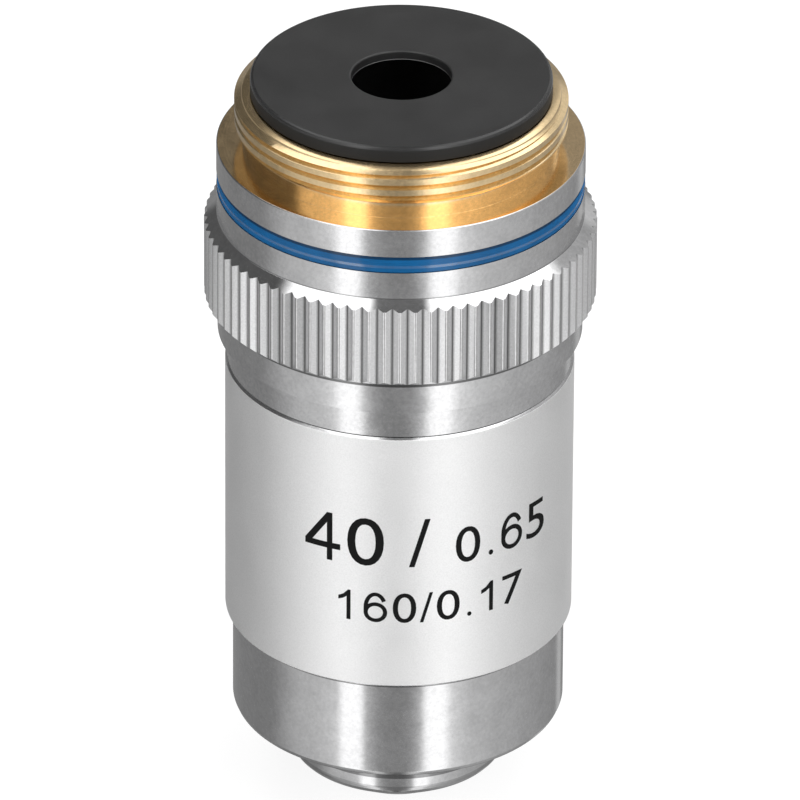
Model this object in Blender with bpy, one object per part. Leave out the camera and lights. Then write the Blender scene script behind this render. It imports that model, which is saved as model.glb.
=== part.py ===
"""Microscope objective with a spring-loaded front, 40x 0.65, on the standard RMS thread.

Metres, +Z up along the optical axis. The origin is the centre of the front rim, so the
objective stands nose down and its thread points up. All pieces are turned, so nearly every
one is a half section spun round the Z axis.
"""

import math

import bmesh
import bpy
from mathutils import Matrix, Vector

MM = 0.001

# Lengths along the axis that a microscope fixes
PARFOCAL_LENGTH = 45.0 * MM  # mounting shoulder to specimen
WORKING_DISTANCE = 0.6 * MM  # front rim to specimen

# Sliding lens tube and the spring behind it
TUBE_BORE_D = 12.2 * MM
TUBE_WALL = 2.1 * MM
TUBE_LENGTH = 19.6 * MM
TUBE_EDGE = 0.3 * MM
TRAVEL = 2.5 * MM
SPRING_WIRE_D = 0.8 * MM
SPRING_INSET = 1.0 * MM  # wire centre in from the tube's side
SPRING_LENGTH = 9.4 * MM
SPRING_COILS = 3.5
SPRING_DEAD_COILS = 1
RETAINER_THICKNESS = 1.6 * MM
RETAINER_WALL = 2.2 * MM
SLOT_WIDTH = 1.2 * MM
SLOT_DEPTH = 0.7 * MM

# Guide barrel: polished lower ring, lip that stops the tube, spigot inside the sleeve
GUIDE_WALL = 1.14 * MM
RING_STEP = 0.47 * MM  # ring's face in from the sleeve's
RING_HEIGHT = 6.70 * MM
RING_EDGE = 0.4 * MM
LIP_THICKNESS = 2.1 * MM
LIP_CLEARANCE = 0.15 * MM
SPIGOTS_APART = 1.42 * MM  # guide's spigot end to the mount's

# Satin sleeve
SLEEVE_WALL = 1.22 * MM
SLEEVE_EDGE = 0.15 * MM

# Mount collar, as steps on the radius from the sleeve outwards, and the spigot inside the sleeve
LOWER_BAND_STEP = -0.12 * MM  # inwards, so that the sleeve's edge shows
LOWER_BAND_HEIGHT = 1.96 * MM
UPPER_BAND_STEP = 0.58 * MM
UPPER_BAND_HEIGHT = 2.35 * MM
GRIP_STEP = 0.82 * MM
GRIP_HEIGHT = 5.12 * MM
GRIP_EDGE = 0.25 * MM
GRIP_BEVEL_HEIGHT = 0.52 * MM
GRIP_BEVEL_WIDTH = 0.75 * MM
COLLAR_HEIGHT = 4.75 * MM
COLLAR_EDGE = 0.08 * MM
MOUNT_SPIGOT_WALL = 0.8 * MM
MOUNT_SPIGOT_LENGTH = 4.4 * MM

# Straight knurl on the grip
KNURL_GROOVES = 80
KNURL_DEPTH = 0.25 * MM
KNURL_LAND = 0.143 * MM

# Enamel band that fills a groove in the collar
BAND_HEIGHT = 1.1 * MM
BAND_DEPTH = 0.35 * MM
BAND_ABOVE_GRIP = 1.81 * MM
BAND_CROWN = 0.1 * MM
BAND_SUNK = 0.03 * MM

# Mounting thread, as its plain crest cylinder: the walls make it 20.32 across, the RMS size
THREAD_WALL = 1.05 * MM  # bore to the bottom of the relief
THREAD_RELIEF_DEPTH = 0.51 * MM
THREAD_RELIEF_HEIGHT = 0.98 * MM
THREAD_LENGTH = 3.5 * MM
THREAD_EDGE = 0.62 * MM
UNDERCUT_DEPTH = 0.08 * MM  # below the shoulder, so that only its land seats
UNDERCUT_CLEARANCE = 0.1 * MM  # land's inner edge out from the thread's crests

# Rear stop, the black cap with the rear aperture
STOP_STEP = 0.96 * MM  # cap's edge in from the thread's
STOP_PROUD = 1.05 * MM
STOP_EDGE = 0.2 * MM
STOP_WALL = 0.8 * MM
STOP_SKIRT_HEIGHT = 2.2 * MM
STOP_PLATE = 0.6 * MM
REAR_APERTURE_D = 6.1 * MM
REAR_APERTURE_EDGE = 0.1 * MM

# Key pin that stops the tube turning, with its keyway in the tube
PIN_D = 1.4 * MM
PIN_HEIGHT = 5.4 * MM  # above the joint between lower ring and sleeve
PIN_DEPTH = 0.6 * MM
KEYWAY_FLOOR = 0.15 * MM
PIN_CLEARANCE = 0.1 * MM

# Nose
NOSE_SEAT = 0.65 * MM  # its shoulder past the tube's bore
NOSE_TAPER = 0.08 * MM
NOSE_EDGE = 0.35 * MM
NOSE_SHOWING = 3.32 * MM
CONE_HEIGHT = 1.95 * MM
RIM_WIDTH = 0.9 * MM
NOSE_SPIGOT_LENGTH = 4.0 * MM
NOSE_WALL = 1.2 * MM
FRONT_BORE_DEPTH = 2.7 * MM
NOSE_FUNNEL_HEIGHT = 1.9 * MM

# Front lens and its cell
FRONT_LENS_R = 1.5 * MM
FRONT_LENS_SUNK = 0.12 * MM
FRONT_CELL_WALL = 1.1 * MM
FRONT_CELL_FLARE = 0.4 * MM
FRONT_CELL_LENGTH = 2.5 * MM
FRONT_CELL_SUNK = 0.05 * MM

# Doublets and their cells: height, lens diameter, curve radii
CELL_LIP = 0.6 * MM
CELL_LIP_WIDTH = 0.5 * MM
LENS_RING_HEIGHT = 0.8 * MM
LENS_RING_WIDTH = 0.7 * MM
CEMENT = 0.05 * MM
MIDDLE_CELL_LENGTH = 5.4 * MM
MIDDLE_LENS_D = 6.9 * MM
MIDDLE_FRONT_R = 9.0 * MM
MIDDLE_JOINT_R = 5.6 * MM
MIDDLE_CROWN_EDGE = 1.0 * MM
MIDDLE_FLINT_EDGE = 1.9 * MM
REAR_CELL_LENGTH = 4.8 * MM
REAR_LENS_D = 8.0 * MM
REAR_FRONT_R = 13.0 * MM
REAR_JOINT_R = 8.0 * MM
REAR_CROWN_EDGE = 0.8 * MM
REAR_FLINT_EDGE = 1.7 * MM
SPACER_WALL = 0.9 * MM
SPACER_LENGTH = 1.8 * MM
DIAPHRAGM_THICKNESS = 0.3 * MM
DIAPHRAGM_HOLE_D = 5.8 * MM
LOCK_RING_HEIGHT = 1.4 * MM
LOCK_RING_WALL = 1.1 * MM

# Clearances between pieces
SEAT_GAP = 0.05 * MM  # end faces that rest on each other
FIT_GAP = 0.1 * MM  # screwed or pressed fits, on the radius
SLIDE_GAP = 0.06 * MM  # running fit of the tube in its guide, on the radius
LENS_GAP = 0.05 * MM  # glass in its cell, on the radius

# Facets round the axis
OUTER_FACETS = KNURL_GROOVES
HOUSING_FACETS = 56
TUBE_FACETS = 44
LENS_FACETS = 24
CURVE_STEPS = 3

# Heights of the joints between the pieces
ring_z = CONE_HEIGHT + NOSE_SHOWING
sleeve_z = ring_z + RING_HEIGHT
shoulder_z = PARFOCAL_LENGTH - WORKING_DISTANCE
grip_top_z = shoulder_z - COLLAR_HEIGHT
knurl_z = grip_top_z - GRIP_BEVEL_HEIGHT - GRIP_HEIGHT
upper_band_z = knurl_z - UPPER_BAND_HEIGHT
lower_band_z = upper_band_z - LOWER_BAND_HEIGHT
mount_spigot_z = lower_band_z - MOUNT_SPIGOT_LENGTH
guide_top_z = mount_spigot_z - SPIGOTS_APART
thread_end_z = shoulder_z + THREAD_LENGTH
lip_z = ring_z + LIP_THICKNESS
tube_z = lip_z + SEAT_GAP
tube_end_z = tube_z + TUBE_LENGTH
spring_z = tube_end_z + SEAT_GAP
retainer_z = spring_z + SPRING_LENGTH + SEAT_GAP

# Radii, from the lenses' bore outwards
tube_bore_r = TUBE_BORE_D / 2
cell_r = tube_bore_r - FIT_GAP
nose_r = tube_bore_r + NOSE_SEAT
tube_r = tube_bore_r + TUBE_WALL
guide_r = tube_r + SLIDE_GAP
spigot_r = guide_r + GUIDE_WALL
mount_bore_r = spigot_r - MOUNT_SPIGOT_WALL
relief_r = mount_bore_r + THREAD_WALL
thread_r = relief_r + THREAD_RELIEF_DEPTH
sleeve_bore_r = spigot_r + FIT_GAP
sleeve_r = sleeve_bore_r + SLEEVE_WALL
ring_r = sleeve_r - RING_STEP
lower_band_r = sleeve_r + LOWER_BAND_STEP
upper_band_r = lower_band_r + UPPER_BAND_STEP
grip_r = upper_band_r + GRIP_STEP
collar_r = grip_r - GRIP_BEVEL_WIDTH
front_cell_bore_r = FRONT_LENS_R + LENS_GAP
front_cell_r = front_cell_bore_r + FRONT_CELL_WALL


def clear_scene():
    for obj in list(bpy.data.objects):
        bpy.data.objects.remove(obj)


def material(name, colour, roughness, metallic=0.0, glassy=0.0):
    mat = bpy.data.materials.new(name)
    mat.use_nodes = True
    shader = mat.node_tree.nodes["Principled BSDF"]
    shader.inputs["Base Color"].default_value = (*colour, 1.0)
    shader.inputs["Roughness"].default_value = roughness
    shader.inputs["Metallic"].default_value = metallic
    shader.inputs["Transmission Weight"].default_value = glassy
    return mat


def empty(name, parent=None):
    obj = bpy.data.objects.new(name, None)
    obj.empty_display_size = TUBE_BORE_D
    bpy.context.collection.objects.link(obj)
    obj.parent = parent
    return obj


def add_object(name, bm, mats, parent, smooth_under=35):
    bmesh.ops.recalc_face_normals(bm, faces=bm.faces)
    mesh = bpy.data.meshes.new(name)
    bm.to_mesh(mesh)
    bm.free()
    for mat in mats:
        mesh.materials.append(mat)
    mesh.shade_smooth()
    mesh.set_sharp_from_angle(angle=math.radians(smooth_under))
    obj = bpy.data.objects.new(name, mesh)
    bpy.context.collection.objects.link(obj)
    obj.parent = parent
    return obj


def turned(name, profile, facets, mat, parent, height=0.0):
    """Spins a half section of (radius, height) points round Z. A section that meets the axis is left open there."""
    bm = bmesh.new()
    verts = [bm.verts.new((r, 0.0, z)) for r, z in profile]
    edges = [bm.edges.new(pair) for pair in zip(verts, verts[1:])]
    if profile[0][0] > 0:
        edges.append(bm.edges.new((verts[-1], verts[0])))
    bmesh.ops.spin(
        bm, geom=verts + edges, cent=(0, 0, 0), axis=(0, 0, 1), angle=math.tau, steps=facets, use_merge=True
    )
    bmesh.ops.remove_doubles(bm, verts=bm.verts, dist=1e-7)
    obj = add_object(name, bm, [mat], parent)
    obj.location.z = height
    return obj


def arc(radius, edge_r, z_pole, steps=CURVE_STEPS):
    """Points of a lens face from the axis out to edge_r. A positive radius bulges towards +Z."""
    points = []
    for i in range(steps + 1):
        r = edge_r * i / steps
        sag = abs(radius) - math.sqrt(radius * radius - r * r)
        points.append((r, z_pole - math.copysign(sag, radius)))
    return points


def sag_of(radius, edge_r):
    return abs(radius) - math.sqrt(radius * radius - edge_r * edge_r)


def cut(obj, cutter_name, bm, parent=None):
    """Subtracts the closed shapes in bm from obj, through a hidden cutter."""
    cutter = add_object(cutter_name, bm, [], parent)
    cutter.hide_render = True
    cutter.display_type = "WIRE"
    modifier = obj.modifiers.new(cutter_name, "BOOLEAN")
    modifier.operation = "DIFFERENCE"
    modifier.object = cutter
    return cutter


def radial_cylinder(bm, radius, inner, outer, z, segments=16):
    """Adds a closed cylinder along +X from inner to outer at height z."""
    place = Matrix.Translation(((inner + outer) / 2, 0, z)) @ Matrix.Rotation(math.pi / 2, 4, "Y")
    bmesh.ops.create_cone(
        bm, cap_ends=True, segments=segments, radius1=radius, radius2=radius, depth=outer - inner, matrix=place
    )


def box(bm, centre, size):
    bmesh.ops.create_cube(bm, size=1.0, matrix=Matrix.LocRotScale(Vector(centre), None, Vector(size)))


def spanner_slots(bm, outer_r, inner_r, z):
    """Two slots across a ring's top face at height z, for the key that screws it in."""
    reach = 2 * (outer_r - inner_r)
    for side in (-1, 1):
        x = side * (outer_r + inner_r) / 2
        box(bm, (x, 0, z), (reach, SLOT_WIDTH, 2 * SLOT_DEPTH))


# Housing: everything that stays still

def mount_collar(parent, mats):
    """Thread, mounting shoulder, collar, knurled grip and the two polished bands, turned from one bar."""
    band_z = grip_top_z + BAND_ABOVE_GRIP
    relief_z = shoulder_z + THREAD_RELIEF_HEIGHT
    profile = [
        (mount_bore_r, mount_spigot_z),
        (mount_bore_r, thread_end_z),
        (thread_r - THREAD_EDGE, thread_end_z),
        (thread_r, thread_end_z - THREAD_EDGE),
        (thread_r, relief_z + THREAD_RELIEF_DEPTH),
        (relief_r, relief_z),
        (relief_r, shoulder_z - UNDERCUT_DEPTH),
        (thread_r + UNDERCUT_CLEARANCE, shoulder_z - UNDERCUT_DEPTH),
        (thread_r + UNDERCUT_CLEARANCE, shoulder_z),
        (collar_r - COLLAR_EDGE, shoulder_z),
        (collar_r, shoulder_z - COLLAR_EDGE),
        (collar_r, band_z + BAND_HEIGHT),
        (collar_r - BAND_DEPTH, band_z + BAND_HEIGHT),
        (collar_r - BAND_DEPTH, band_z),
        (collar_r, band_z),
        (collar_r, grip_top_z),
        (grip_r, grip_top_z - GRIP_BEVEL_HEIGHT),
        (grip_r, knurl_z + GRIP_EDGE),
        (grip_r - GRIP_EDGE, knurl_z),
        (upper_band_r, knurl_z),
        (upper_band_r, upper_band_z),
        (lower_band_r, upper_band_z),
        (lower_band_r, lower_band_z),
        (spigot_r, lower_band_z),
        (spigot_r, mount_spigot_z),
    ]
    obj = turned("mount_collar", profile, OUTER_FACETS, mats["chrome"], parent)
    # The plating is turned away above the collar, which leaves the thread and the shoulder bare brass
    obj.data.materials.append(mats["brass"])
    for face in obj.data.polygons:
        x, y, z = face.center
        if z > shoulder_z - 1.5 * UNDERCUT_DEPTH and math.hypot(x, y) < collar_r - COLLAR_EDGE:
            face.material_index = 1
    cut(obj, "knurl_cutter", knurl_grooves(), parent)
    return obj


def knurl_grooves():
    """Upright V grooves all round the grip. They run out through the bevel above and the edge below."""
    bm = bmesh.new()
    pitch = math.tau * grip_r / KNURL_GROOVES
    over = 0.25 * KNURL_LAND
    half_width = 0.5 * (pitch - KNURL_LAND) * (1 + over / KNURL_DEPTH)
    low, high = knurl_z - KNURL_DEPTH, grip_top_z + KNURL_DEPTH
    for i in range(KNURL_GROOVES):
        turn = Matrix.Rotation(math.tau * (i + 0.5) / KNURL_GROOVES, 3, "Z")
        section = [(grip_r - KNURL_DEPTH, 0.0), (grip_r + over, half_width), (grip_r + over, -half_width)]
        bottom = [bm.verts.new(turn @ Vector((x, y, low))) for x, y in section]
        face = bm.faces.new(bottom)
        grown = bmesh.ops.extrude_face_region(bm, geom=[face])
        top = [v for v in grown["geom"] if isinstance(v, bmesh.types.BMVert)]
        bmesh.ops.translate(bm, vec=(0, 0, high - low), verts=top)
    return bm


def colour_band(parent, mats):
    """Enamel that fills the collar's groove, with a crowned face."""
    band_z = grip_top_z + BAND_ABOVE_GRIP
    outer_r = collar_r - BAND_SUNK
    inner_r = collar_r - BAND_DEPTH + SEAT_GAP
    half = BAND_HEIGHT / 2 - SEAT_GAP
    crown = [(outer_r - BAND_CROWN * t * t, half * t) for t in (-1.0, -0.4, 0.4, 1.0)]
    profile = [(inner_r, -half), *crown, (inner_r, half)]
    return turned("colour_band", profile, HOUSING_FACETS, mats["enamel"], parent, band_z + BAND_HEIGHT / 2)


def outer_sleeve(parent, mats):
    """Satin tube held between the collar and the lower ring."""
    low, high = sleeve_z + SEAT_GAP, lower_band_z - SEAT_GAP
    profile = [
        (sleeve_bore_r, low),
        (sleeve_bore_r, high),
        (sleeve_r - SLEEVE_EDGE, high),
        (sleeve_r, high - SLEEVE_EDGE),
        (sleeve_r, low + SLEEVE_EDGE),
        (sleeve_r - SLEEVE_EDGE, low),
    ]
    return turned("outer_sleeve", profile, HOUSING_FACETS, mats["satin"], parent)


def guide_barrel(parent, mats):
    """Polished lower ring with the guide bore for the lens tube and the lip that stops it."""
    lip_r = nose_r + LIP_CLEARANCE
    profile = [
        (lip_r, ring_z),
        (lip_r, lip_z),
        (guide_r, lip_z),
        (guide_r, guide_top_z),
        (spigot_r, guide_top_z),
        (spigot_r, sleeve_z),
        (ring_r - SLEEVE_EDGE, sleeve_z),
        (ring_r, sleeve_z - SLEEVE_EDGE),
        (ring_r, ring_z + RING_EDGE),
        (ring_r - 0.3 * RING_EDGE, ring_z + 0.3 * RING_EDGE),
        (ring_r - RING_EDGE, ring_z),
    ]
    obj = turned("guide_barrel", profile, HOUSING_FACETS, mats["polished"], parent)
    hole = bmesh.new()
    radial_cylinder(hole, PIN_D / 2 + SEAT_GAP, guide_r - GUIDE_WALL, spigot_r + GUIDE_WALL, sleeve_z + PIN_HEIGHT)
    cut(obj, "pin_hole_cutter", hole, parent)
    return obj


def key_pin(parent, mats):
    """Pin through the guide's wall into the tube's keyway. The sleeve covers it."""
    inner = tube_r - PIN_DEPTH
    bm = bmesh.new()
    radial_cylinder(bm, PIN_D / 2, inner, spigot_r, sleeve_z + PIN_HEIGHT)
    return add_object("key_pin", bm, [mats["steel"]], parent)


def rear_stop(parent, mats):
    """Black cap on the thread's end, with the rear aperture in a thin plate."""
    low = thread_end_z + SEAT_GAP
    top = thread_end_z + STOP_PROUD
    skirt_r = mount_bore_r - FIT_GAP
    cap_r = thread_r - STOP_STEP
    hole_r = REAR_APERTURE_D / 2
    profile = [
        (hole_r, top - STOP_PLATE),
        (hole_r, top - REAR_APERTURE_EDGE),
        (hole_r + 0.3 * REAR_APERTURE_EDGE, top - 0.3 * REAR_APERTURE_EDGE),
        (hole_r + REAR_APERTURE_EDGE, top),
        (cap_r - STOP_EDGE, top),
        (cap_r, top - STOP_EDGE),
        (cap_r, low),
        (skirt_r, low),
        (skirt_r, low - STOP_SKIRT_HEIGHT),
        (skirt_r - STOP_WALL, low - STOP_SKIRT_HEIGHT),
        (skirt_r - STOP_WALL, top - STOP_PLATE),
    ]
    return turned("rear_stop", profile, TUBE_FACETS, mats["black"], parent)


def spring_retainer(parent, mats):
    """Ring screwed into the mount's bore that the spring pushes against."""
    outer_r = mount_bore_r - FIT_GAP
    inner_r = outer_r - RETAINER_WALL
    profile = [(inner_r, 0), (inner_r, RETAINER_THICKNESS), (outer_r, RETAINER_THICKNESS), (outer_r, 0)]
    obj = turned("spring_retainer", profile, TUBE_FACETS, mats["brass"], parent, retainer_z)
    slots = bmesh.new()
    spanner_slots(slots, outer_r, inner_r, retainer_z + RETAINER_THICKNESS)
    cut(obj, "retainer_slot_cutter", slots, parent)
    return obj


# Lens barrel: everything that slides back with the nose

def lens_tube(parent, mats):
    profile = [
        (tube_bore_r, tube_z),
        (tube_bore_r, tube_end_z),
        (tube_r - TUBE_EDGE, tube_end_z),
        (tube_r, tube_end_z - TUBE_EDGE),
        (tube_r, tube_z + TUBE_EDGE),
        (tube_r - TUBE_EDGE, tube_z),
    ]
    obj = turned("lens_tube", profile, TUBE_FACETS, mats["brass"], parent)
    # The keyway reaches below the pin by the tube's travel
    half_width = PIN_D / 2 + PIN_CLEARANCE
    pin_z = sleeve_z + PIN_HEIGHT
    low, high = pin_z - half_width - TRAVEL, pin_z + half_width
    deep = PIN_DEPTH + KEYWAY_FLOOR
    keyway = bmesh.new()
    box(keyway, (tube_r, 0, (low + high) / 2), (2 * deep, 2 * half_width, high - low))
    cut(obj, "keyway_cutter", keyway, parent)
    return obj


def nose(parent, mats):
    """Front cone and cylinder that show below the housing, screwed into the tube."""
    front_r = nose_r - NOSE_TAPER
    hole_r = front_cell_r + SEAT_GAP
    rim_r = hole_r + RIM_WIDTH
    bore_r = cell_r - NOSE_WALL
    shoulder = tube_z - SEAT_GAP
    top = shoulder + NOSE_SPIGOT_LENGTH
    slope = math.atan2(CONE_HEIGHT, front_r - rim_r)
    profile = [
        (hole_r, 0),
        (hole_r, FRONT_BORE_DEPTH),
        (bore_r, FRONT_BORE_DEPTH + NOSE_FUNNEL_HEIGHT),
        (bore_r, top),
        (cell_r, top),
        (cell_r, shoulder),
        (nose_r, shoulder),
        (nose_r, ring_z),
        (front_r, CONE_HEIGHT + NOSE_EDGE),
        (front_r - 0.12 * NOSE_EDGE, CONE_HEIGHT + 0.45 * NOSE_EDGE),
        (front_r - NOSE_EDGE * math.cos(slope), CONE_HEIGHT - NOSE_EDGE * math.sin(slope)),
        (rim_r, 0),
    ]
    return turned("nose", profile, TUBE_FACETS, mats["polished"], parent)


def front_cell(parent, mats):
    """Small pressed-in cell that holds the front lens just behind the rim."""
    profile = [
        (front_cell_bore_r, 0),
        (front_cell_bore_r, FRONT_LENS_R + FRONT_LENS_SUNK),
        (front_cell_bore_r + FRONT_CELL_FLARE, FRONT_CELL_LENGTH),
        (front_cell_r, FRONT_CELL_LENGTH),
        (front_cell_r, 0),
    ]
    return turned("front_cell", profile, LENS_FACETS, mats["steel"], parent, FRONT_CELL_SUNK)


def front_lens(parent, mats):
    """Half-ball front lens, flat side towards the specimen."""
    quarter = [math.pi / 2 * i / 5 for i in range(6)]
    dome = [(FRONT_LENS_R * math.cos(a), FRONT_LENS_R * math.sin(a)) for a in quarter]
    profile = [(0, 0), *dome[:-1], (0, FRONT_LENS_R)]
    height = FRONT_CELL_SUNK + FRONT_LENS_SUNK
    return turned("front_lens", profile, LENS_FACETS, mats["glass"], parent, height)


def doublet(name, parent, mats, low, lens_d, front_r, joint_r, crown_edge, flint_edge):
    """Cemented pair: a crown lens that bulges both ways and a flint lens with a flat back. Returns its top."""
    r = lens_d / 2
    edge_low = low + sag_of(front_r, r)
    edge_joint = edge_low + crown_edge
    joint_pole = edge_joint + sag_of(joint_r, r)
    front_face = arc(-front_r, r, low)
    joint_face = arc(joint_r, r, joint_pole)
    turned(f"{name}_crown", front_face + joint_face[::-1], LENS_FACETS, mats["glass"], parent)
    back = edge_joint + flint_edge
    flint = [(x, z + CEMENT) for x, z in joint_face] + [(r, back), (0, back)]
    turned(f"{name}_flint", flint, LENS_FACETS, mats["flint"], parent)
    return back


def cell(name, parent, mats, low, length, lens_d):
    """Blackened cell for a doublet, with a lip in front and a screwed ring behind the glass."""
    bore_r = lens_d / 2 + LENS_GAP
    profile = [
        (bore_r - CELL_LIP_WIDTH, low),
        (bore_r - CELL_LIP_WIDTH, low + CELL_LIP),
        (bore_r, low + CELL_LIP),
        (bore_r, low + length),
        (cell_r, low + length),
        (cell_r, low),
    ]
    turned(f"{name}_cell", profile, LENS_FACETS, mats["black"], parent)


def lens_ring(name, parent, mats, low, lens_d):
    outer_r = lens_d / 2
    inner_r = outer_r - LENS_RING_WIDTH
    profile = [(inner_r, 0), (inner_r, LENS_RING_HEIGHT), (outer_r, LENS_RING_HEIGHT), (outer_r, 0)]
    turned(f"{name}_lens_ring", profile, LENS_FACETS, mats["black"], parent, low)


def doublet_group(name, parent, mats, low, length, lens_d, front_r, joint_r, crown_edge, flint_edge):
    """A doublet in its cell. The glass rests on the lip by its rim. Returns the cell's top."""
    cell(name, parent, mats, low, length, lens_d)
    lip_edge_r = lens_d / 2 + LENS_GAP - CELL_LIP_WIDTH
    glass_low = low + CELL_LIP + SEAT_GAP - sag_of(front_r, lip_edge_r)
    back = doublet(name, parent, mats, glass_low, lens_d, front_r, joint_r, crown_edge, flint_edge)
    lens_ring(name, parent, mats, back + SEAT_GAP, lens_d)
    return low + length


def plain_ring(name, parent, mat, low, height, inner_r, outer_r, facets=LENS_FACETS):
    profile = [(inner_r, 0), (inner_r, height), (outer_r, height), (outer_r, 0)]
    return turned(name, profile, facets, mat, parent, low)


def lens_stack(parent, mats):
    """Cells, spacer and diaphragm, stacked on the nose's spigot inside the tube and locked by a ring."""
    z = tube_z - SEAT_GAP + NOSE_SPIGOT_LENGTH + SEAT_GAP
    z = doublet_group(
        "middle", parent, mats, z, MIDDLE_CELL_LENGTH, MIDDLE_LENS_D,
        MIDDLE_FRONT_R, MIDDLE_JOINT_R, MIDDLE_CROWN_EDGE, MIDDLE_FLINT_EDGE,
    )
    z += SEAT_GAP
    plain_ring("spacer_ring", parent, mats["black"], z, SPACER_LENGTH, cell_r - SPACER_WALL, cell_r)
    z += SPACER_LENGTH + SEAT_GAP
    z = doublet_group(
        "rear", parent, mats, z, REAR_CELL_LENGTH, REAR_LENS_D,
        REAR_FRONT_R, REAR_JOINT_R, REAR_CROWN_EDGE, REAR_FLINT_EDGE,
    )
    z += SEAT_GAP
    plain_ring("diaphragm", parent, mats["black"], z, DIAPHRAGM_THICKNESS, DIAPHRAGM_HOLE_D / 2, cell_r)
    z += DIAPHRAGM_THICKNESS + SEAT_GAP
    lock = plain_ring("lock_ring", parent, mats["brass"], z, LOCK_RING_HEIGHT, cell_r - LOCK_RING_WALL, cell_r)
    slots = bmesh.new()
    spanner_slots(slots, cell_r, cell_r - LOCK_RING_WALL, z + LOCK_RING_HEIGHT)
    cut(lock, "lock_slot_cutter", slots, parent)


def spring(parent, mats):
    """Open coil spring with a closed coil at each end, from the tube's rear face to the retainer."""
    wire_r, coil_r = SPRING_WIRE_D / 2, tube_r - SPRING_INSET
    steps, sides = 13, 6
    turns = SPRING_COILS + 2 * SPRING_DEAD_COILS
    low, high = wire_r, SPRING_LENGTH - wire_r
    dead_rise = SPRING_WIRE_D * SPRING_DEAD_COILS * 1.05
    bm = bmesh.new()
    rings = []
    count = round(turns * steps)
    for i in range(count + 1):
        t = turns * i / count
        if t < SPRING_DEAD_COILS:
            z = low + dead_rise * t / SPRING_DEAD_COILS
        elif t > turns - SPRING_DEAD_COILS:
            z = high - dead_rise * (turns - t) / SPRING_DEAD_COILS
        else:
            z = low + dead_rise + (high - low - 2 * dead_rise) * (t - SPRING_DEAD_COILS) / SPRING_COILS
        out = Matrix.Rotation(math.tau * t, 3, "Z") @ Vector((1, 0, 0))
        centre = out * coil_r + Vector((0, 0, z))
        ring = []
        for k in range(sides):
            a = math.tau * k / sides
            ring.append(bm.verts.new(centre + out * (wire_r * math.cos(a)) + Vector((0, 0, wire_r * math.sin(a)))))
        rings.append(ring)
    for a, b in zip(rings, rings[1:]):
        for k in range(sides):
            n = (k + 1) % sides
            bm.faces.new((a[k], a[n], b[n], b[k]))
    bm.faces.new(rings[0])
    bm.faces.new(rings[-1])
    obj = add_object("spring", bm, [mats["steel"]], parent)
    obj.location.z = spring_z
    return obj


def main():
    clear_scene()
    mats = {
        "chrome": material("bright_chrome", (0.62, 0.62, 0.62), 0.12, 1.0),
        "polished": material("polished_chrome", (0.60, 0.60, 0.60), 0.16, 1.0),
        "satin": material("satin_chrome", (0.70, 0.70, 0.70), 0.38, 1.0),
        "brass": material("bare_brass", (0.72, 0.50, 0.22), 0.25, 1.0),
        "steel": material("steel", (0.55, 0.55, 0.56), 0.3, 1.0),
        "enamel": material("blue_enamel", (0.03, 0.12, 0.30), 0.2),
        "black": material("matt_black", (0.05, 0.05, 0.05), 0.5),
        "glass": material("crown_glass", (0.95, 0.97, 0.96), 0.02, 0.0, 1.0),
        "flint": material("flint_glass", (0.96, 0.95, 0.90), 0.02, 0.0, 1.0),
    }
    housing = empty("housing")
    mount_collar(housing, mats)
    colour_band(housing, mats)
    outer_sleeve(housing, mats)
    guide_barrel(housing, mats)
    key_pin(housing, mats)
    rear_stop(housing, mats)
    spring_retainer(housing, mats)
    barrel = empty("lens_barrel", housing)
    lens_tube(barrel, mats)
    nose(barrel, mats)
    front_cell(barrel, mats)
    front_lens(barrel, mats)
    lens_stack(barrel, mats)
    spring(barrel, mats)


main()
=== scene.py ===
"""Looks of a 40x microscope objective with a spring-loaded front, on the standard objective thread.

Every turned piece starts as one corner that is extruded along its half section and spun round the
optical axis, which is the Z axis. Sizes are in millimetres and repeat the part's own.
"""

import math

import bpy
from mathutils import Matrix, Vector


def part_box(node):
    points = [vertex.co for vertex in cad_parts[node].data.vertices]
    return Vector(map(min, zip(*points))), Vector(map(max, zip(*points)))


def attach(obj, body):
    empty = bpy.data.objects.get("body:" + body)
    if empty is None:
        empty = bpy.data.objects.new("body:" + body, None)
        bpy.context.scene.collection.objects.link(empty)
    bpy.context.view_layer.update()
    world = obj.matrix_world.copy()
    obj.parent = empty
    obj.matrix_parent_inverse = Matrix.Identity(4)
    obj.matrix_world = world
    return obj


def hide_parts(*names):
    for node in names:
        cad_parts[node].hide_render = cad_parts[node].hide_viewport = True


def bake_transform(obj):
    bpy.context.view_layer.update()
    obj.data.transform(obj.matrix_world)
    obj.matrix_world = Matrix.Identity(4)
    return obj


MM = 0.001
ENLARGED = 1000

# Heights along the optical axis
NOSE_EDGE_Z = 2.30
RING_Z = 5.27
LIP_Z = 7.37
SLEEVE_Z = 11.97
GUIDE_TOP_Z = 23.88
MOUNT_SPIGOT_Z = 25.30
LOWER_BAND_Z = 29.70
UPPER_BAND_Z = 31.66
KNURL_Z = 34.01
BEVEL_Z = 39.13
GRIP_TOP_Z = 39.65
BLUE_Z = 41.46
BLUE_TOP_Z = 42.56
SHOULDER_Z = 44.40
RELIEF_TOP_Z = 45.38
CREST_Z = 45.89
THREAD_END_Z = 47.90
TOP_Z = 48.95

# Radii
APERTURE_R = 3.05
NOSE_FOOT_R = 6.67
NOSE_R = 6.75
GUIDE_R = 8.26
MOUNT_BORE_R = 8.60
STOP_R = 9.20
SPIGOT_R = 9.40
RELIEF_R = 9.65
THREAD_R = 10.16
RING_R = 10.25
SLEEVE_R = 10.72
LOWER_BAND_R = 10.60
UPPER_BAND_R = 11.18
COLLAR_R = 11.25
GRIP_R = 11.999

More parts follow.
